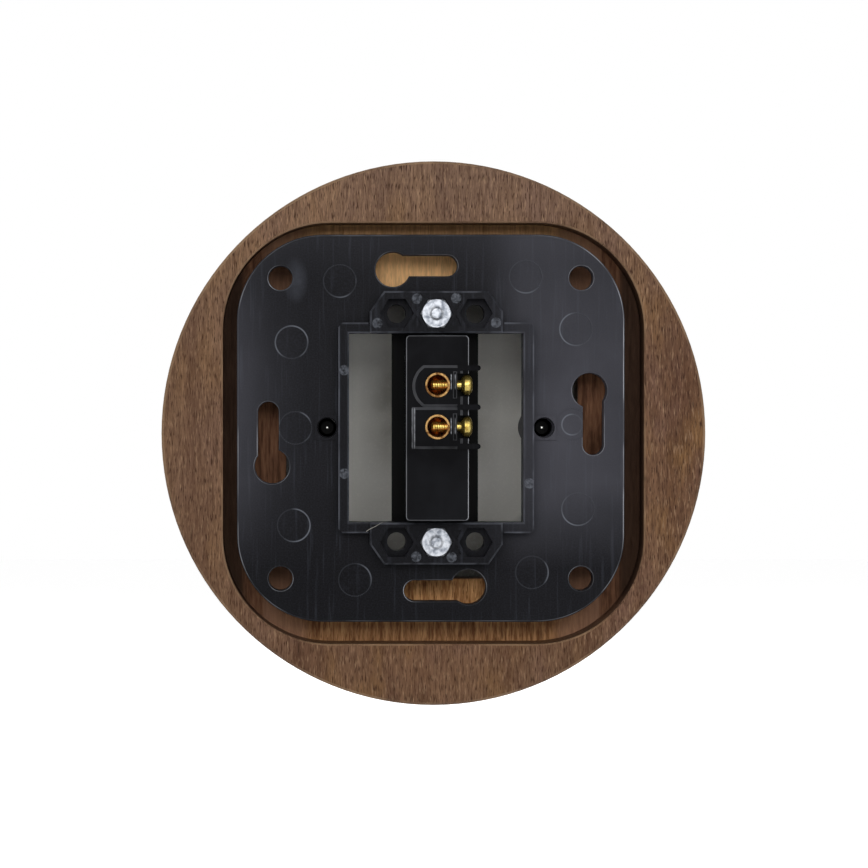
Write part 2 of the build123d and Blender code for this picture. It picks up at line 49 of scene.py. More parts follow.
# Camera, set by the photograph: square to the plate from side to side, a little left of it and above it.
# AIM is the place on the wall plane at the image's centre.
CAMERA_DISTANCE = 450 * MM
CAMERA_SIDE = 22 * MM
CAMERA_RISE_DEG = 0.7
SENSOR_MM = 36.0
PX_PER_MM = 5.417
IMAGE_PX = 868
PLATE_PX = (430.8, 428.4)
AIM_X, AIM_Z = ((place - IMAGE_PX / 2) / PX_PER_MM * MM for place in PLATE_PX)

# Lamps: name, place, width and height in metres, and watts
LAMPS = [
    ("soft_left", (0.36, 0.60, 0.34), 0.55, 0.5, 1.7),
    ("soft_right", (-0.36, 0.60, 0.34), 0.55, 0.5, 1.7),
    ("strip_left", (0.60, 0.34, 0.06), 0.06, 0.5, 0.45),
    ("strip_right", (-0.60, 0.34, 0.06), 0.06, 0.5, 0.45),
    ("soft_front", (0.0, 0.66, 0.24), 0.6, 0.24, 1.5),
    ("soft_face_left", (-0.4, -0.58, 0.3), 0.6, 0.6, 2.2),
    ("soft_face_right", (0.4, -0.58, 0.3), 0.6, 0.6, 2.2),
]
FLOOR_SIZE = 3.0
FLOOR_DROP = 0.12
FLOOR_GLOW = 0.75
FLOOR_GREY = (0.8, 0.8, 0.8, 1.0)
WHITE = (1.0, 1.0, 1.0, 1.0)
WORLD_LIGHT = 0.2

# Places taken from the CAD frame
CORE_X, _, CORE_Z = middle("toggle_pin")
RING_X, _, RING_Z = middle("wood_ring")
PLATE_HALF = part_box("mounting_plate")[1][0]
COVER_SCREW_OFF = abs(middle("cover_screw_a")[0] - CORE_X)
NUTS = [middle(name) for name in ("mounting_nut_top", "mounting_nut_bottom")]

# Round marks left by the mould's inserts and pins, as millimetres across and up
INSERT_RADIUS = 3.0 * MM
SMALL_INSERT_RADIUS = 1.9 * MM
PIN_RADIUS = 1.0 * MM
INSERTS = [
    (16.8, 27.2), (25.7, 15.9), (25.0, 0.1), (25.3, -17.9), (14.0, -28.0),
    (-17.5, 28.0), (-26.8, 18.3), (-27.2, -14.9), (-18.7, -26.6),
]
SMALL_INSERT = (-26.1, 0.7)
RIDGE_PINS = [(16.9, 10.6), (16.9, -8.4), (-17.1, -10.2)]
NUT_PINS = [
    [(3.6, 2.7), (-3.6, 2.8), (10.85, -1.8), (-10.9, -1.7)],
    [(3.7, -2.65), (-2.8, -2.75)],
]
RIM_MARKS = [(x * MM, z * MM, INSERT_RADIUS) for x, z in INSERTS]
RIM_MARKS.append((SMALL_INSERT[0] * MM, SMALL_INSERT[1] * MM, SMALL_INSERT_RADIUS))
PIN_MARKS = [(CORE_X + x * MM, CORE_Z + z * MM, PIN_RADIUS) for x, z in RIDGE_PINS]
for (nut_x, _, nut_z), pins in zip(NUTS, NUT_PINS):
    PIN_MARKS += [(nut_x + x * MM, nut_z + z * MM, PIN_RADIUS) for x, z in pins]

# Painted highlight outlines of the ridge round the window: half width, half height, how far across it starts,
# and strength
RIDGE_LINES = [(17.9 * MM, 19.25 * MM, 12.4 * MM, 0.45), (16.12 * MM, 17.5 * MM, 0.0, 0.3)]
# Painted highlight lines on the case: millimetres across from the core, lower end, upper end, and strength
CASE_GLINTS = [
    (-2.45, 7.1, 10.0, 0.8), (-3.16, 7.1, 10.0, 0.55), (-2.45, -1.0, 2.1, 0.8), (-3.16, -1.0, 2.1, 0.45),
    (4.61, -3.7, 3.9, 0.45), (4.19, -3.7, 3.9, 0.6),
]
# The plate's painted sheen from one side edge to the other, as place and strength
SHEEN_ACROSS = [
    (0.0, 0.72), (0.16, 0.86), (0.27, 0.82), (0.36, 0.22), (0.45, 0.1),
    (0.82, 0.08), (0.9, 0.2), (0.96, 0.42), (1.0, 0.55),
]
SHEEN_HALF = 36 * MM
PALE_PATCH_X, PALE_PATCH_Z = 24.9 * MM, 27.3 * MM
PALE_PATCH_SQUEEZE_X, PALE_PATCH_SQUEEZE_Z = 1.5, 0.8

# Screw threads and the flash, made in this scene alone; the flash's steps are in millimetres
THREAD_STEPS = 28
FLASH_START = (11.6 * MM, 4.9 * MM, -18.5 * MM)
FLASH_LEAN_DEG = -58
FLASH_SIDES = 8
FLASH_STEPS = [(-0.9, 0.15, 0.42), (-0.8, 0.1, 0.5), (-0.5, 0.0, 0.26)]
FLASH_TAPER = 0.8
SMOOTH_DEG = 35


def tone(red, green, blue):
    # A surface colour from its 0 to 255 screen values.
    def one(value):
        value /= 255
        return value / 12.92 if value <= 0.04045 else ((value + 0.055) / 1.055) ** 2.4
    return (one(red), one(green), one(blue), 1.0)


# Node helpers

def feed(tree, value, socket):
    # A number, a colour or a place is set on the socket, and an output is linked to it.
    if isinstance(value, (int, float, tuple)):
        socket.default_value = value
    else:
        tree.links.new(value, socket)


def add_node(tree, kind, inputs=None, **settings):
    node = tree.nodes.new(kind)
    for key, value in settings.items():
        setattr(node, key, value)
    for key, value in (inputs or {}).items():
        feed(tree, value, node.inputs[key])
    return node


def calc(tree, operation, first, second=0.0):
    return add_node(tree, "ShaderNodeMath", {0: first, 1: second}, operation=operation).outputs[0]


def times(tree, first, *others):
    # The product of two or more masks or numbers.
    for other in others:
        first = calc(tree, "MULTIPLY", first, other)
    return first


def larger(tree, first, second):
    return calc(tree, "MAXIMUM", first, second)


def minus(tree, first, second):
    return calc(tree, "SUBTRACT", first, second)


def size_of(tree, value):
    return calc(tree, "ABSOLUTE", value)


def off_from(tree, value, centre):
    # How far a value is from a centre, on either side.
    return size_of(tree, minus(tree, value, centre))


def spread(tree, value, low, high, first=0.0, last=1.0):
    # Turns low to high into first to last, and stays level beyond both.
    inputs = {"Value": value, "From Min": low, "From Max": high, "To Min": first, "To Max": last}
    return add_node(tree, "ShaderNodeMapRange", inputs).outputs["Result"]


def band(tree, value, none_low, full_low, full_high, none_high):
    # 1 in a range, and less on both sides of it.
    return times(tree, spread(tree, value, none_low, full_low), spread(tree, value, none_high, full_high))


def grey_ramp(tree, value, stops):
    # A grey that follows stops given as (place, grey), from place 0 to place 1.
    node = add_node(tree, "ShaderNodeValToRGB", {"Fac": value})
    elements = node.color_ramp.elements
    for place, _ in stops[1:-1]:
        elements.new(place)
    for element, (_, grey) in zip(elements, stops):
        element.color = (grey, grey, grey, 1.0)
    return node.outputs["Color"]


def stretched(tree, vector, scale, location=(0, 0, 0)):
    inputs = {"Vector": vector, "Scale": scale, "Location": location}
    return add_node(tree, "ShaderNodeMapping", inputs).outputs["Vector"]


def noise(tree, vector, scale, detail, rough=0.5, twist=0.0):
    inputs = {"Vector": vector, "Scale": scale, "Detail": detail, "Roughness": rough, "Distortion": twist}
    return add_node(tree, "ShaderNodeTexNoise", inputs).outputs["Fac"]


def split(tree, vector):
    return add_node(tree, "ShaderNodeSeparateXYZ", {"Vector": vector}).outputs


def flat_offset(tree, vector, centre):
    # The way from a centre, across and up only.
    apart = add_node(tree, "ShaderNodeVectorMath", {0: vector, 1: centre}, operation="SUBTRACT")
    flat = {0: apart.outputs["Vector"], 1: (1.0, 0.0, 1.0)}
    return add_node(tree, "ShaderNodeVectorMath", flat, operation="MULTIPLY").outputs["Vector"]


def length(tree, vector):
    return add_node(tree, "ShaderNodeVectorMath", {0: vector}, operation="LENGTH").outputs["Value"]


def blend(tree, factor, first, second):
    return add_node(tree, "ShaderNodeMix", {0: factor, 6: first, 7: second}, data_type="RGBA").outputs[2]


def layered(tree, colour, layers):
    # Colours laid over one another, each through its own mask.
    for mask, over in layers:
        colour = blend(tree, mask, colour, over)
    return colour


def bump(tree, height, strength, depth):
    inputs = {"Height": height, "Strength": strength, "Distance": depth}
    return add_node(tree, "ShaderNodeBump", inputs).outputs["Normal"]


# Effects that the materials share

def new_group(name, inputs, outputs):
    # An input with no number of its own is a vector, and every output is a number.
    group = bpy.data.node_groups.new(name, "ShaderNodeTree")
    for label, value in inputs.items():
        kind = "NodeSocketVector" if value is None else "NodeSocketFloat"
        socket = group.interface.new_socket(name=label, in_out="INPUT", socket_type=kind)
        if value is not None:
            socket.default_value = value
    for label in outputs:
        group.interface.new_socket(name=label, in_out="OUTPUT", socket_type="NodeSocketFloat")
    entry = group.nodes.new("NodeGroupInput")
    leave = group.nodes.new("NodeGroupOutput")
    return group, entry.outputs, leave.inputs


def wear_group():
    # Handling marks: fine cloudy grime, upright scratches and a fine surface grain.
    inputs = {"Vector": None, "Cloud Size": 90.0, "Scratch Size": 900.0, "Grain Size": 3000.0}
    group, entry, leave = new_group("handling_marks", inputs, ["Clouds", "Scratches", "Grain"])
    vector = entry["Vector"]
    lines = noise(group, stretched(group, vector, (1.0, 1.0, 0.05)), entry["Scratch Size"], 2.0, 0.6)
    feed(group, noise(group, vector, entry["Cloud Size"], 4.0, 0.55, 0.3), leave["Clouds"])
    feed(group, spread(group, lines, 0.56, 0.72), leave["Scratches"])
    feed(group, noise(group, vector, entry["Grain Size"], 2.0, 0.6), leave["Grain"])
    return group


def grain_group():
    # Wood grain that runs upright: growth bands, fine fibres, dark hairs, short dark flecks and pale pores.
    inputs = {"Vector": None, "Fibre Size": 1500.0, "Fleck Size": 820.0}
    outputs = ["Bands", "Fibres", "Flecks", "Pores", "Hairs"]
    group, entry, leave = new_group("upright_grain", inputs, outputs)
    vector = entry["Vector"]
    bands = noise(group, stretched(group, vector, (1.0, 0.7, 0.12)), 70.0, 3.0, 0.6, 0.5)
    fibres = noise(group, stretched(group, vector, (1.0, 0.8, 0.10)), entry["Fibre Size"], 3.0, 0.7)
    hairs = noise(group, stretched(group, vector, (1.0, 0.9, 0.11), (0.4, 0.3, 0.1)), 5200.0, 2.0, 0.5)
    cells = add_node(
        group, "ShaderNodeTexVoronoi",
        {"Vector": stretched(group, vector, (1.15, 0.8, 0.14)), "Scale": entry["Fleck Size"]},
    )
    flecks = spread(group, cells.outputs["Distance"], 0.05, 0.30, 1.0, 0.0)
    chosen = noise(group, stretched(group, vector, (1.0, 1.0, 0.4), (0.3, 0.1, 0.2)), 420.0, 2.0)
    pores = noise(group, stretched(group, vector, (1.0, 1.0, 0.14), (0.7, 0.2, 0.4)), 2900.0, 2.0, 0.7)
    feed(group, bands, leave["Bands"])
    feed(group, fibres, leave["Fibres"])
    feed(group, times(group, flecks, spread(group, chosen, 0.5, 0.62)), leave["Flecks"])
    feed(group, spread(group, pores, 0.54, 0.74), leave["Pores"])
    feed(group, spread(group, hairs, 0.53, 0.66), leave["Hairs"])
    return group


def edge_group():
    # A moulding seen from the wall side: its rounded edges, its flats, and its bevels at 45 degrees.
    group, entry, leave = new_group("moulded_edges", {"Normal": None}, ["Edge", "Flat", "Bevel"])
    axes = split(group, entry["Normal"])
    strip = band(group, axes["Y"], 0.72, 0.78, 0.9, 0.985)
    side = spread(group, size_of(group, axes["X"]), 0.1, 0.6, 0.25, 1.0)
    # Edges facing -X get twice the mask of those facing +X, for painted highlights that are brighter on that
    # side.
    right = spread(group, axes["X"], -0.3, 0.3, 1.0, 0.5)
    feed(group, times(group, strip, side, right), leave["Edge"])
    feed(group, spread(group, axes["Y"], 0.9, 0.99), leave["Flat"])
    feed(group, band(group, axes["Y"], 0.67, 0.69, 0.725, 0.745), leave["Bevel"])
    return group


def round_group():
    # Round mould mark about a centre: its rim, and the disc inside it.
    inputs = {"Vector": None, "Centre": None, "Radius": INSERT_RADIUS}
    group, entry, leave = new_group("round_mark", inputs, ["Rim", "Disc"])
    reach = length(group, flat_offset(group, entry["Vector"], entry["Centre"]))
    off_rim = off_from(group, reach, entry["Radius"])
    feed(group, spread(group, off_rim, 0.05 * MM, 0.17 * MM, 1.0, 0.0), leave["Rim"])
    feed(group, spread(group, minus(group, entry["Radius"], reach), 0.0, 0.12 * MM), leave["Disc"])
    return group


MARKS = wear_group()
GRAIN = grain_group()
EDGES = edge_group()
ROUND = round_group()


def use_group(tree, group, inputs):
    return add_node(tree, "ShaderNodeGroup", inputs, node_tree=group).outputs


def use_marks(tree, vector, clouds, scratches, grain):
    inputs = {"Vector": vector, "Cloud Size": clouds, "Scratch Size": scratches, "Grain Size": grain}
    return use_group(tree, MARKS, inputs)


# Materials

def new_material(name):
    material = bpy.data.materials.new(name)
    material.use_nodes = True
    return material, material.node_tree, material.node_tree.nodes["Principled BSDF"]


def on_piece(tree):
    # Where a point lies on its piece.
    return tree.nodes.new("ShaderNodeTexCoord").outputs["Object"]


def facing(tree):
    # The way that the surface faces.
    return tree.nodes.new("ShaderNodeTexCoord").outputs["Normal"]


def wallward(tree):
    # How squarely the surface faces the wall, from -1 to 1.
    return split(tree, facing(tree))["Y"]


def set_shader(tree, shader, values):
    for key, value in values.items():
        feed(tree, value, shader.inputs[key])


def outer_stain_and_painted_light(tree, vector, axes, grain, hue):
    # Outside of the ring: patchy grey-brown stain, with painted light towards the top and painted shade below
    # and on the +X side.
    broad = noise(tree, stretched(tree, vector, (1.0, 1.0, 0.3), (0.02, 0, 0.01)), 26.0, 2.0)
    streak = noise(tree, stretched(tree, vector, (1.0, 0.6, 0.04), (0.013, 0, 0)), 150.0, 3.0, 0.6)
    colour = blend(tree, spread(tree, grain["Bands"], 0.35, 0.65), tone(84, 57, 40), tone(114, 85, 64))
    return layered(tree, colour, [
        (spread(tree, hue, 0.52, 0.66, 0.0, 0.6), tone(126, 93, 56)),
        (spread(tree, hue, 0.48, 0.36, 0.0, 0.5), tone(101, 75, 67)),
        (spread(tree, broad, 0.42, 0.62, 0.0, 0.5), tone(118, 92, 72)),
        (spread(tree, streak, 0.5, 0.72, 0.0, 0.55), tone(72, 46, 36)),
        # Lighter towards the top: painted light.
        (spread(tree, axes["Z"], 10 * MM, 50 * MM, 0.0, 0.4), tone(122, 101, 86)),
        (spread(tree, grain["Fibres"], 0.42, 0.64, 0.0, 0.55), tone(58, 36, 24)),
        (times(tree, grain["Hairs"], 0.95), tone(46, 27, 17)),
        (times(tree, grain["Flecks"], 0.55), tone(34, 21, 14)),
        (times(tree, grain["Pores"], 0.6), tone(160, 130, 102)),
        # Darker below and towards +X: painted shade.
        (spread(tree, axes["Z"], -20 * MM, -40 * MM, 0.0, 0.13), tone(60, 38, 14)),
        (spread(tree, axes["X"], 28 * MM, 45 * MM, 0.0, 0.2), tone(64, 42, 26)),
    ])


def recess_wood_and_painted_light(tree, axes, grain):
    # The wood that the plate hides, partly its own colour and partly painted light and shade: golden above
    # and below the window, brighter towards the top and lighter at the corners as painted light; weaker in
    # the gap beyond the plate, dark in the upright gaps and darker towards the bottom as painted shade.
    wide = off_from(tree, axes["X"], RING_X)
    tall = off_from(tree, axes["Z"], RING_Z)
    fibres = spread(tree, grain["Fibres"], 0.36, 0.64)
    plain = blend(tree, fibres, tone(126, 88, 64), tone(76, 48, 32))
    golden = blend(tree, fibres, tone(222, 168, 112), tone(136, 90, 52))
    golden = layered(tree, golden, [
        (times(tree, grain["Hairs"], 0.75), tone(92, 56, 30)),
        # Brighter towards the top: painted light.
        (spread(tree, axes["Z"], 0.0, 26 * MM, 0.0, 0.5), tone(255, 206, 146)),
    ])
    # Golden where the gaps and slots lie level: painted light over the wood's own paler colour.
    level = spread(tree, minus(tree, tall, wide), 4 * MM, 16 * MM)
    # Less golden in the gap beyond the plate: painted shade.
    under_gap = spread(tree, tall, 34 * MM, PLATE_HALF, 1.0, 0.52)
    # Dark in the upright gaps: painted shade.
    upright = spread(tree, wide, 34.5 * MM, PLATE_HALF)
    upright_ends = spread(tree, tall, 39 * MM, 30 * MM, 0.25, 1.0)
    # Lighter at the corners: painted light.
    corner = spread(tree, calc(tree, "MINIMUM", wide, tall), 22.5 * MM, 24.5 * MM, 0.0, 0.55)
    return layered(tree, plain, [
        (times(tree, level, under_gap), golden),
        (times(tree, grain["Flecks"], 0.8), tone(52, 29, 16)),
        (times(tree, upright, upright_ends, 0.9), tone(44, 29, 20)),
        (spread(tree, axes["Z"], 20 * MM, -20 * MM, 0.0, 0.16), tone(58, 38, 24)),
        (times(tree, corner, spread(tree, wide, 32 * MM, 31 * MM)), tone(146, 110, 88)),
    ])


def stained_beech():
    # Stained beech: outside, recess, the recess's wall darkened as painted shade, and a pale rim on the
    # rounded edges as painted highlight.
    material, tree, shader = new_material("stained_beech")
    vector = on_piece(tree)
    axes = split(tree, vector)
    lean = wallward(tree)
    grain = use_group(tree, GRAIN, {"Vector": vector})
    hue = noise(tree, stretched(tree, vector, (1.0, 1.0, 0.45), (0.05, 0.02, 0.03)), 95.0, 3.0, 0.6)
    reach = length(tree, flat_offset(tree, vector, (0.0, 0.0, 0.0)))
    inner = spread(tree, reach, 47.5 * MM, 48.5 * MM, 1.0, 0.0)
    sunk = band(tree, axes["Y"], -9.5 * MM, -8.5 * MM, -4.8 * MM, -0.3 * MM)
    # The recess's wall darkened: painted shade.
    wall = times(tree, spread(tree, lean, 0.35, 0.2), spread(tree, axes["Y"], -7.2 * MM, -6.4 * MM))
    # A pale rim on the rounded edges: painted highlight.
    rim = times(tree, band(tree, lean, 0.45, 0.6, 0.85, 0.95), spread(tree, hue, 0.42, 0.56, 0.1, 0.5))
    colour = layered(tree, outer_stain_and_painted_light(tree, vector, axes, grain, hue), [
        (times(tree, sunk, inner, 0.95), recess_wood_and_painted_light(tree, axes, grain)),
        (times(tree, wall, inner, 0.7), tone(36, 24, 17)),
        (rim, tone(146, 120, 94)),
    ])
    set_shader(tree, shader, {
        "Base Color": colour,
        "Roughness": spread(tree, grain["Fibres"], 0.3, 0.7, 0.5, 0.66),
        "Normal": bump(tree, minus(tree, grain["Fibres"], grain["Flecks"]), 0.6, 0.12 * MM),
        "Specular IOR Level": 0.08,
    })
    return material


def painted_glint_line(tree, vector, across, low, high, strength):
    # One broken upright painted highlight line on the case's rear face.
    axes = split(tree, vector)
    half = (high - low) / 2 * MM
    off_x = off_from(tree, axes["X"], CORE_X + across * MM)
    off_z = off_from(tree, axes["Z"], (low + high) / 2 * MM)
    return times(
        tree, spread(tree, off_x, 0.02 * MM, 0.13 * MM, strength, 0.0),
        spread(tree, off_z, half, half - 0.3 * MM),
        spread(tree, noise(tree, vector, 900.0, 2.0, 0.6), 0.38, 0.6, 0.3, 1.0),
        spread(tree, axes["Y"], 6.2 * MM, 6.6 * MM),
    )


def moulded_black(name, colour, dust, dust_amount, rough, gloss, painted_highlight_tone, glints=()):
    # Moulding with a little dust and scratching, and painted highlights on its edges and along any glint
    # lines.
    material, tree, shader = new_material(name)
    vector = on_piece(tree)
    marks = use_marks(tree, vector, 70.0, 900.0, 3200.0)
    clouds = marks["Clouds"]
    edges = use_group(tree, EDGES, {"Normal": facing(tree)})
    layers = [
        (times(tree, spread(tree, clouds, 0.42, 0.68), dust_amount), dust),
        (times(tree, marks["Scratches"], dust_amount / 2), dust),
        # Painted highlights on the edges and bevels.
        (times(tree, edges["Edge"], spread(tree, clouds, 0.35, 0.6, 0.55, 1.0)), painted_highlight_tone),
        (times(tree, edges["Bevel"], spread(tree, clouds, 0.35, 0.6, 0.02, 0.16)), painted_highlight_tone),
    ]
    layers += [(painted_glint_line(tree, vector, *glint), painted_highlight_tone) for glint in glints]
    height = calc(tree, "ADD", clouds, times(tree, marks["Grain"], 0.15))
    set_shader(tree, shader, {
        "Base Color": layered(tree, colour, layers),
        "Roughness": spread(tree, clouds, 0.35, 0.65, rough - 0.05, rough + 0.07),
        "Normal": bump(tree, height, 0.25, 0.06 * MM),
        "Specular IOR Level": gloss,
    })
    return material


def plate_painted_sheen(tree, axes, clouds):
    # Painted sheen on the plate, a painted reflection: strong towards one side, weak at the foot and on the
    # ridge.
    sheen = times(
        tree, grey_ramp(tree, spread(tree, axes["X"], -SHEEN_HALF, SHEEN_HALF), SHEEN_ACROSS),
        spread(tree, axes["Z"], -26 * MM, -10 * MM, 0.06, 1.0),
        spread(tree, axes["Z"], 14 * MM, 30 * MM, 1.0, 0.56),
        spread(tree, clouds, 0.3, 0.7, 0.75, 1.2),
    )
    sheen = calc(tree, "ADD", sheen, spread(tree, axes["Z"], 28 * MM, 34.5 * MM, 0.0, 0.12))
    return times(tree, sheen, spread(tree, axes["Y"], 0.6 * MM, 1.4 * MM, 1.0, 0.5))


def plate_pale_patch(tree, vector):
    # A soft pale patch beside a corner hole.
    squeeze = (PALE_PATCH_SQUEEZE_X, 0.0, PALE_PATCH_SQUEEZE_Z)
    start = (-PALE_PATCH_X * PALE_PATCH_SQUEEZE_X, 0.0, -PALE_PATCH_Z * PALE_PATCH_SQUEEZE_Z)
    reach = length(tree, stretched(tree, vector, squeeze, start))
    soft = spread(tree, noise(tree, vector, 300.0, 2.0), 0.3, 0.6, 0.4, 1.0)
    return times(tree, spread(tree, reach, 0.6 * MM, 3.6 * MM, 1.0, 0.0), soft, 0.34)


def any_mark(tree, vector, places, part):
    # The rims or discs of several round marks at once.
    found = 0.0
    for across, up, radius in places:
        mark = use_group(tree, ROUND, {"Vector": vector, "Centre": (across, 0.0, up), "Radius": radius})
        found = larger(tree, found, mark[part])
    return found


def plate_marks(tree, vector, arcs):
    # Broken pale rims round the inserts, painted as highlights, and speckled discs over the pins.
    rims = any_mark(tree, vector, RIM_MARKS, "Rim")
    discs = any_mark(tree, vector, PIN_MARKS, "Disc")
    speckle = spread(tree, noise(tree, vector, 1900.0, 2.0, 0.6), 0.35, 0.65, 0.05, 0.6)
    return larger(
        tree, times(tree, rims, spread(tree, arcs, 0.5, 0.64, 0.1, 0.8)), times(tree, discs, speckle)
    )


def ridge_lines(tree, vector, axes):
    # Broken pale outlines on the ridge round the window: painted highlights.
    across = off_from(tree, axes["X"], CORE_X)
    up = off_from(tree, axes["Z"], CORE_Z)
    raised = spread(tree, axes["Y"], 1.4 * MM, 1.8 * MM)
    broken = spread(tree, noise(tree, vector, 210.0, 2.0, 0.6), 0.4, 0.62, 0.25, 1.0)
    lines = []
    for half_wide, half_tall, start, strength in RIDGE_LINES:
        beyond = larger(tree, minus(tree, across, half_wide), minus(tree, up, half_tall))
        line = spread(tree, size_of(tree, beyond), 0.03 * MM, 0.28 * MM, strength, 0.0)
        started = spread(tree, across, start, start + 0.2 * MM)
        lines.append(times(tree, line, raised, started, broken))
    return lines


def moulded_plate():
    # Bluish black moulding with a painted sheen, mould marks, and painted highlights on the marks' rims, the
    # ridge and the edges.
    material, tree, shader = new_material("plate_black")
    vector = on_piece(tree)
    axes = split(tree, vector)
    marks = use_marks(tree, vector, 46.0, 1300.0, 3600.0)
    edges = use_group(tree, EDGES, {"Normal": facing(tree)})
    arcs = noise(tree, vector, 150.0, 1.0, 0.4)
    patches = spread(tree, noise(tree, vector, 330.0, 2.0, 0.6), 0.4, 0.6, 0.05, 0.27)
    layers = [
        (plate_painted_sheen(tree, axes, marks["Clouds"]), tone(64, 64, 70)),
        (spread(tree, marks["Grain"], 0.4, 0.7, 0.0, 0.06), tone(84, 86, 98)),
        (times(tree, marks["Scratches"], 0.08), tone(96, 100, 112)),
        (plate_pale_patch(tree, vector), tone(84, 87, 96)),
        (times(tree, plate_marks(tree, vector, arcs), edges["Flat"]), tone(104, 108, 116)),
        # Painted highlights on the edges and bevels.
        (times(tree, edges["Edge"], spread(tree, arcs, 0.42, 0.66, 0.16, 1.0)), tone(164, 166, 172)),
        (times(tree, edges["Bevel"], patches), tone(110, 113, 122)),
    ]
    layers += [(line, tone(104, 107, 116)) for line in ridge_lines(tree, vector, axes)]
    height = calc(tree, "ADD", marks["Clouds"], times(tree, marks["Grain"], 0.2))
    set_shader(tree, shader, {
        "Base Color": layered(tree, tone(11, 11, 13), layers),
        "Roughness": spread(tree, marks["Clouds"], 0.35, 0.65, 0.34, 0.46),
        "Normal": bump(tree, height, 0.3, 0.07 * MM),
        "Specular IOR Level": 0.045,
    })
    return material


def glazed_porcelain():
    # White and glazed outside; inside it is dull, with painted shade: grey beside the mechanism, darker where
    # the plate hides it, and darker above and below it.
    material, tree, shader = new_material("porcelain")
    vector = on_piece(tree)
    marks = use_marks(tree, vector, 60.0, 500.0, 1700.0)
    lean = wallward(tree)
    inside = spread(tree, lean, 0.1, 0.3)
    offset = flat_offset(tree, vector, (CORE_X, 0.0, CORE_Z))
    axes = split(tree, offset)
    # Darker where the plate hides the inside: painted shade.
    hidden = times(tree, spread(tree, length(tree, offset), 24.5 * MM, 27.5 * MM), inside, 0.9)
    # Grey beside the mechanism: painted shade.
    mechanism_painted_shade = times(
        tree, spread(tree, size_of(tree, axes["X"]), 8.5 * MM, 14 * MM, 0.75, 0.1),
        spread(tree, off_from(tree, axes["Z"], 3 * MM), 4 * MM, 13.5 * MM, 1.0, 0.25),
        spread(tree, noise(tree, vector, 130.0, 2.0), 0.35, 0.6, 0.75, 1.1),
        inside,
    )
    # Darker above and below the mechanism: painted shade.
    behind = times(
        tree, spread(tree, size_of(tree, axes["Z"]), 18.6 * MM, 19.2 * MM),
        spread(tree, axes["Z"], -10 * MM, 10 * MM, 0.76, 0.82),
        spread(tree, lean, -0.2, -0.1),
    )
    colour = blend(tree, spread(tree, marks["Clouds"], 0.35, 0.65), tone(244, 242, 234), tone(250, 248, 242))
    colour = layered(tree, colour, [
        (spread(tree, marks["Grain"], 0.62, 0.74, 0.0, 0.2), tone(206, 201, 188)),
        (hidden, tone(74, 71, 64)),
        (mechanism_painted_shade, tone(150, 146, 134)),
        (behind, tone(96, 94, 88)),
    ])
    set_shader(tree, shader, {
        "Base Color": colour,
        "Roughness": spread(tree, marks["Grain"], 0.3, 0.7, 0.2, 0.3),
        "Normal": bump(tree, marks["Clouds"], 0.12, 0.1 * MM),
        "Coat Weight": spread(tree, lean, 0.02, 0.2, 0.6, 0.0),
        "Coat Roughness": 0.06,
    })
    return material


def set_metal(tree, shader, marks, colour, smooth, dull, metallic=1.0):
    # Metal that is smooth in some places and duller in others.
    set_shader(tree, shader, {
        "Base Color": colour,
        "Roughness": spread(tree, marks["Clouds"], 0.35, 0.65, smooth, dull),
        "Normal": bump(tree, marks["Grain"], 0.3, 0.05 * MM),
        "Metallic": metallic,
    })


def plated(name, colour, tarnish, rough, clouds=260.0, sloped=1.0):
    # Plated or bare metal; "sloped" is how metallic all that doesn't face the wall is.
    material, tree, shader = new_material(name)
    marks = use_marks(tree, on_piece(tree), clouds, 2600.0, 5200.0)
    colour = blend(tree, spread(tree, marks["Clouds"], 0.4, 0.66), colour, tarnish)
    metallic = spread(tree, wallward(tree), 0.93, 0.98, sloped, 1.0)
    set_metal(tree, shader, marks, colour, rough, rough + 0.14, metallic)
    return material


def drawn_brass():
    # Terminals: pale on the cut ends of the tubes, red-brown inside them.
    material, tree, shader = new_material("drawn_brass")
    marks = use_marks(tree, on_piece(tree), 900.0, 2600.0, 5200.0)
    inner = blend(tree, spread(tree, marks["Clouds"], 0.4, 0.62), tone(196, 112, 38), tone(128, 62, 20))
    rim = blend(tree, spread(tree, marks["Clouds"], 0.4, 0.6), tone(182, 144, 92), tone(92, 62, 34))
    colour = blend(tree, spread(tree, wallward(tree), 0.15, 0.5), inner, rim)
    set_metal(tree, shader, marks, colour, 0.2, 0.34)
    return material


def cover_screw_steel():
    # Nickel outside; towards the rear the shank is painted dark as shade in its hole, and the middle of its
    # tip carries a painted glint.
    material, tree, shader = new_material("cover_screw_steel")
    vector = on_piece(tree)
    marks = use_marks(tree, vector, 260.0, 2600.0, 5200.0)
    axes = split(tree, vector)
    across = minus(tree, off_from(tree, axes["X"], CORE_X), COVER_SCREW_OFF)
    up = minus(tree, axes["Z"], CORE_Z)
    reach = calc(tree, "SQRT", calc(tree, "ADD", times(tree, across, across), times(tree, up, up)))
    tip = spread(tree, axes["Y"], -6.2 * MM, -5.6 * MM)
    # A painted glint in the middle of the tip.
    glint = times(tree, spread(tree, reach, 0.08 * MM, 0.2 * MM, 1.0, 0.0), tip)
    nickel = blend(tree, spread(tree, marks["Clouds"], 0.4, 0.66), tone(190, 190, 188), tone(150, 150, 150))
    colour = layered(tree, nickel, [
        # Dark towards the rear: painted shade in the hole.
        (spread(tree, axes["Y"], -22 * MM, -21.5 * MM), tone(12, 12, 12)),
        (glint, tone(245, 245, 240)),
    ])
    set_metal(tree, shader, marks, colour, 0.24, 0.36)
    return material


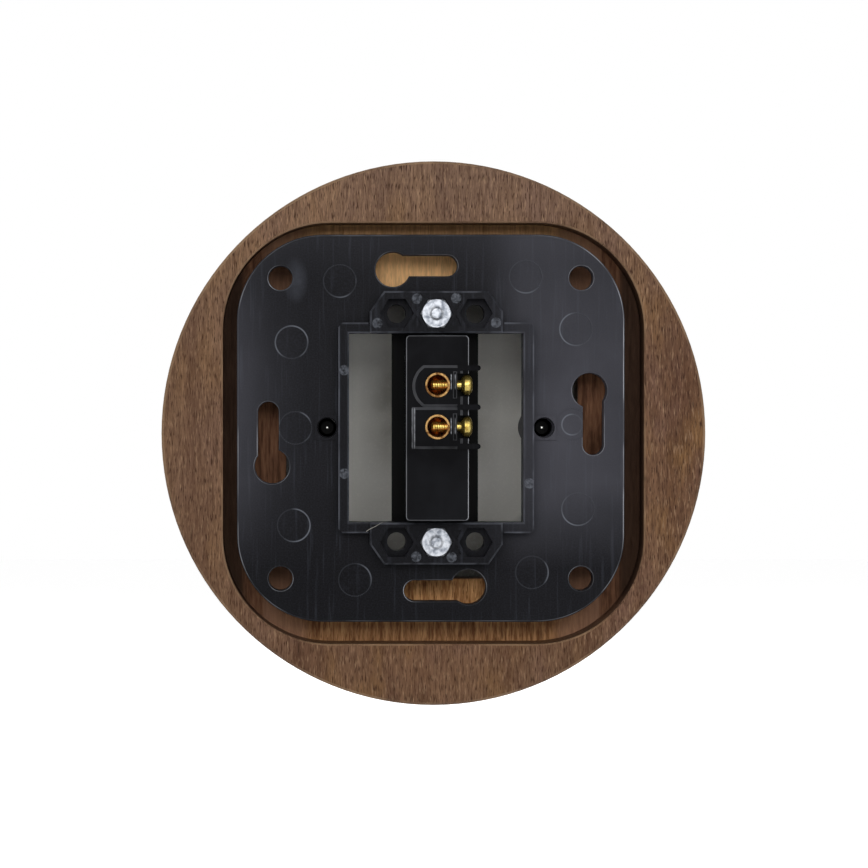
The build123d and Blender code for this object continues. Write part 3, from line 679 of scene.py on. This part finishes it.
def pressed_fibre():
    # Washers: mottled red-brown and dull.
    material, tree, shader = new_material("pressed_fibre")
    marks = use_marks(tree, on_piece(tree), 900.0, 1500.0, 4000.0)
    colour = blend(tree, spread(tree, marks["Clouds"], 0.4, 0.6), tone(104, 62, 38), tone(140, 94, 60))
    set_shader(tree, shader, {
        "Base Color": colour,
        "Roughness": 0.8,
        "Normal": bump(tree, marks["Grain"], 0.4, 0.08 * MM),
    })
    return material


def dress(names, material):
    # Gives CAD nodes their material.
    for name in names:
        mesh = nodes[name].data
        mesh.materials.clear()
        mesh.materials.append(material)


CASE = moulded_black(
    "case_black", tone(6, 6, 8), dust=tone(48, 50, 56), dust_amount=0.1, rough=0.2, gloss=0.06,
    painted_highlight_tone=tone(170, 172, 178), glints=CASE_GLINTS,
)
INNER = moulded_black(
    "inner_black", tone(8, 8, 8), dust=tone(30, 30, 32), dust_amount=0.1, rough=0.36, gloss=0.03,
    painted_highlight_tone=tone(60, 60, 64),
)
TOGGLE = moulded_black(
    "toggle_black", tone(12, 12, 13), dust=tone(60, 60, 66), dust_amount=0.1, rough=0.14, gloss=0.5,
    painted_highlight_tone=tone(20, 20, 22),
)
FLASH = moulded_black(
    "moulding_flash", tone(142, 138, 130), dust=tone(166, 162, 154), dust_amount=0.4, rough=0.4, gloss=0.2,
    painted_highlight_tone=tone(150, 148, 142),
)
ZINC = plated(
    "zinc", tone(175, 178, 184), tarnish=tone(104, 109, 118), rough=0.4, clouds=1100.0, sloped=0.35
)
SCREW_BRASS = plated(
    "screw_brass", tone(188, 168, 94), tarnish=tone(136, 110, 50), rough=0.16, clouds=900.0, sloped=0.8
)
STEEL = plated("steel", tone(182, 182, 184), tarnish=tone(140, 140, 144), rough=0.24)
SILVER = plated("silver", tone(224, 224, 220), tarnish=tone(184, 184, 178), rough=0.26)

dress(["wood_ring"], stained_beech())
dress(["mounting_plate"], moulded_plate())
dress(["switch_base"], CASE)
dress(["switch_front"], INNER)
dress(["toggle_lever"], TOGGLE)
dress(["ceramic_cover"], glazed_porcelain())
dress(["mounting_nut_top", "mounting_nut_bottom", "mounting_screw_top", "mounting_screw_bottom"], ZINC)
dress(["toggle_pin", "toggle_spring"], STEEL)
dress(["cover_screw_a", "cover_screw_b"], cover_screw_steel())
dress(["common_terminal", "load_terminal", "rocker_contact"], drawn_brass())
dress(["clamp_screw_common", "clamp_screw_load"], SCREW_BRASS)
dress(["moving_contact", "fixed_contact"], SILVER)
dress(["cover_washer_a", "cover_washer_b"], pressed_fibre())


# Pieces of the scene's own

def deselect_all():
    bpy.ops.object.select_all(action="DESELECT")


def end_piece(obj, name, material):
    # Names a finished piece, gives it its material, lays its place into its mesh and rides it on the housing.
    obj.name = name
    obj.data.name = name
    obj.data.materials.clear()
    obj.data.materials.append(material)
    deselect_all()
    obj.select_set(True)
    bpy.context.view_layer.objects.active = obj
    bpy.ops.object.transform_apply(location=True, rotation=True, scale=True)
    bpy.ops.object.shade_smooth_by_angle(angle=math.radians(SMOOTH_DEG))
    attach(obj, "housing")


def thread(name, material, place, turn, root, height, pitch, turns):
    # A screw thread: a small pointed profile wound round the local Z axis, then laid in place.
    upright = (math.radians(90), 0, 0)
    deselect_all()
    bpy.ops.mesh.primitive_circle_add(vertices=3, radius=height, location=(root, 0, 0), rotation=upright)
    obj = bpy.context.object
    bpy.ops.object.mode_set(mode="EDIT")
    bpy.ops.mesh.select_all(action="SELECT")
    bpy.ops.transform.rotate(
        value=math.radians(30), orient_axis="Y", orient_type="GLOBAL", center_override=(root, 0, 0)
    )
    bpy.ops.object.mode_set(mode="OBJECT")
    bpy.ops.object.transform_apply(location=True, rotation=True, scale=True)
    wind = obj.modifiers.new("wind", "SCREW")
    wind.axis = "Z"
    wind.screw_offset = pitch
    wind.iterations = turns
    wind.steps = THREAD_STEPS
    wind.render_steps = THREAD_STEPS
    bpy.ops.object.modifier_apply(modifier=wind.name)
    obj.rotation_euler = turn
    obj.location = place
    end_piece(obj, name, material)


def clamp_threads():
    # Threads of the clamping screws, wound from the tip towards the head.
    for node in ("clamp_screw_common", "clamp_screw_load"):
        _, y, z = middle(node)
        place = (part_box(node)[1][0] - 0.2 * MM, y, z)
        turn = (0, math.radians(-90), 0)
        thread(
            node + "_thread", SCREW_BRASS, place, turn,
            root=0.88 * MM, height=0.14 * MM, pitch=0.42 * MM, turns=6,
        )


def tip_threads():
    # One turn of thread at the end of each mounting screw.
    for node in ("mounting_screw_top", "mounting_screw_bottom"):
        x, _, z = middle(node)
        place = (x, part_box(node)[1][1] - 0.52 * MM, z)
        turn = (math.radians(-90), 0, 0)
        thread(
            node + "_thread", ZINC, place, turn,
            root=1.2 * MM, height=0.13 * MM, pitch=0.3 * MM, turns=1,
        )


def select_end(mesh):
    # Selects the end face of the flash that lies furthest to -X.
    ends = [face for face in mesh.polygons if len(face.vertices) == FLASH_SIDES]
    tip = min(ends, key=lambda face: face.center.x)
    for face in mesh.polygons:
        face.select = face.index == tip.index
    for vertex in mesh.vertices:
        vertex.select = vertex.index in tip.vertices
    for edge in mesh.edges:
        edge.select = all(index in tip.vertices for index in edge.vertices)


def moulding_flash():
    # A hair of plastic left across the window's lower corner.
    deselect_all()
    bpy.ops.mesh.primitive_cone_add(
        vertices=FLASH_SIDES, radius1=0.05 * MM, radius2=0.05 * MM, depth=1.0 * MM, end_fill_type="NGON",
        location=FLASH_START, rotation=(0, math.radians(FLASH_LEAN_DEG), 0),
    )
    obj = bpy.context.object
    bpy.ops.object.transform_apply(location=True, rotation=True, scale=True)
    for step in FLASH_STEPS:
        select_end(obj.data)
        bpy.ops.object.mode_set(mode="EDIT")
        move = tuple(along * MM for along in step)
        bpy.ops.mesh.extrude_region_move(TRANSFORM_OT_translate={"value": move})
        bpy.ops.transform.resize(value=(FLASH_TAPER, FLASH_TAPER, FLASH_TAPER))
        bpy.ops.object.mode_set(mode="OBJECT")
    end_piece(obj, "moulding_flash", FLASH)


# Lamps, surroundings and camera

def add_softbox(name, place, width, height, power):
    # A soft lamp that faces the switch.
    data = bpy.data.lights.new(name, "AREA")
    data.shape = "RECTANGLE"
    data.size = width
    data.size_y = height
    data.energy = power
    lamp = bpy.data.objects.new(name, data)
    bpy.context.scene.collection.objects.link(lamp)
    lamp.location = place
    lamp.rotation_euler = (-Vector(place)).to_track_quat("-Z", "Y").to_euler()


def looked_at(tree):
    # 1 for rays that show the surroundings, straight or by reflection, and 0 for those that light the switch.
    path = tree.nodes.new("ShaderNodeLightPath").outputs
    seen = larger(tree, path["Is Camera Ray"], path["Is Glossy Ray"])
    return larger(tree, seen, path["Is Transmission Ray"])


def build_floor():
    # Pale floor below the switch; the camera and the glossy surfaces see it as white.
    deselect_all()
    bpy.ops.mesh.primitive_plane_add(size=FLOOR_SIZE, location=(0, 0, -FLOOR_DROP))
    floor = bpy.context.object
    floor.name = "floor"
    material, tree, shader = new_material("floor_white")
    set_shader(tree, shader, {
        "Base Color": FLOOR_GREY,
        "Roughness": 0.9,
        "Emission Color": WHITE,
        "Emission Strength": times(tree, looked_at(tree), FLOOR_GLOW),
    })
    floor.data.materials.append(material)


def build_world():
    # White to look at, and a weak even light on the switch.
    world = bpy.data.worlds.new("surround")
    world.use_nodes = True
    bpy.context.scene.world = world
    tree = world.node_tree
    back = tree.nodes["Background"]
    back.inputs["Color"].default_value = WHITE
    feed(tree, spread(tree, looked_at(tree), 0.0, 1.0, WORLD_LIGHT, 1.0), back.inputs["Strength"])


def build_camera():
    data = bpy.data.cameras.new("camera")
    camera = bpy.data.objects.new("camera", data)
    bpy.context.scene.collection.objects.link(camera)
    bpy.context.scene.camera = camera
    span = IMAGE_PX / PX_PER_MM * MM
    rise = math.radians(CAMERA_RISE_DEG)
    data.sensor_width = SENSOR_MM
    data.lens = SENSOR_MM * CAMERA_DISTANCE / span
    data.shift_x = CAMERA_SIDE / span
    camera.location = (
        AIM_X + CAMERA_SIDE, CAMERA_DISTANCE * math.cos(rise), AIM_Z + CAMERA_DISTANCE * math.sin(rise)
    )
    camera.rotation_euler = (math.radians(90) - rise, 0, math.radians(180))


clamp_threads()
tip_threads()
moulding_flash()
for lamp in LAMPS:
    add_softbox(*lamp)
build_floor()
build_world()
build_camera()
bpy.context.scene.view_settings.view_transform = "Standard"
